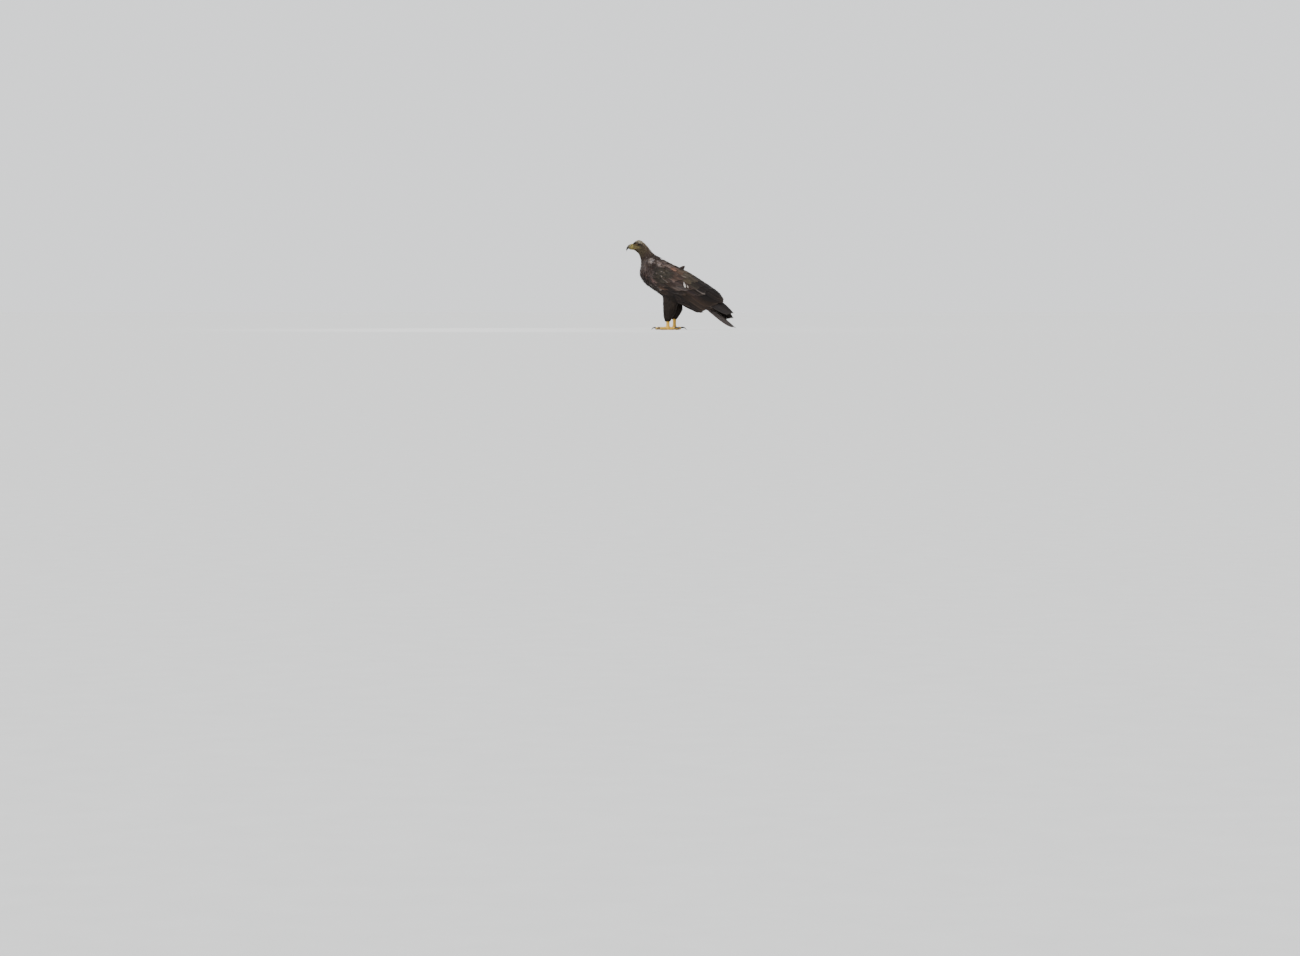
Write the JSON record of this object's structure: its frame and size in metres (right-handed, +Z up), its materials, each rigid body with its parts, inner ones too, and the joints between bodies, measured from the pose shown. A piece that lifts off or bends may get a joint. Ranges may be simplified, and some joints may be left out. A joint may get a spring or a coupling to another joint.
{
  "type": "immature bald eagle",
  "caption": "Life-size immature bald eagle standing still with folded wings, body sloping down to the tail, head held forward and one foot set behind the other.",
  "frame": {"origin": "on the floor, under the middle of the bird's bounding box", "axes": "+Z up; the bird faces -Y and its tail points to +Y; +X is its left side, the side the picture shows"},
  "size_m": [0.2304, 0.652, 0.5395],
  "materials": {
    "plumage": "matt, mottled brown",
    "flight_feathers": "satin, blackish brown",
    "bill": "satin horn, olive yellow with a dark tip",
    "eyes": "wet gloss",
    "feet": "scaly, yellow",
    "claws": "satin horn, black"
  },
  "bodies": {
    "root": {"bill_lower": "bill", "bill_upper": "bill", "claw_left_hind": "claws", "claw_left_inner": "claws", "claw_left_middle": "claws", "claw_left_outer": "claws", "claw_right_hind": "claws", "claw_right_inner": "claws", "claw_right_middle": "claws", "claw_right_outer": "claws", "eye_left": "eyes", "eye_right": "eyes", "head": "plumage", "neck": "plumage", "primaries_left": "flight_feathers", "primaries_right": "flight_feathers", "tail": "flight_feathers", "tarsus_left": "feet", "tarsus_right": "feet", "thigh_left": "plumage", "thigh_right": "plumage", "toe_left_hind": "feet", "toe_left_inner": "feet", "toe_left_middle": "feet", "toe_left_outer": "feet", "toe_right_hind": "feet", "toe_right_inner": "feet", "toe_right_middle": "feet", "toe_right_outer": "feet", "trunk": "plumage", "tuft": "plumage", "wing_left": "plumage", "wing_right": "plumage"}
  },
  "joints": []
}
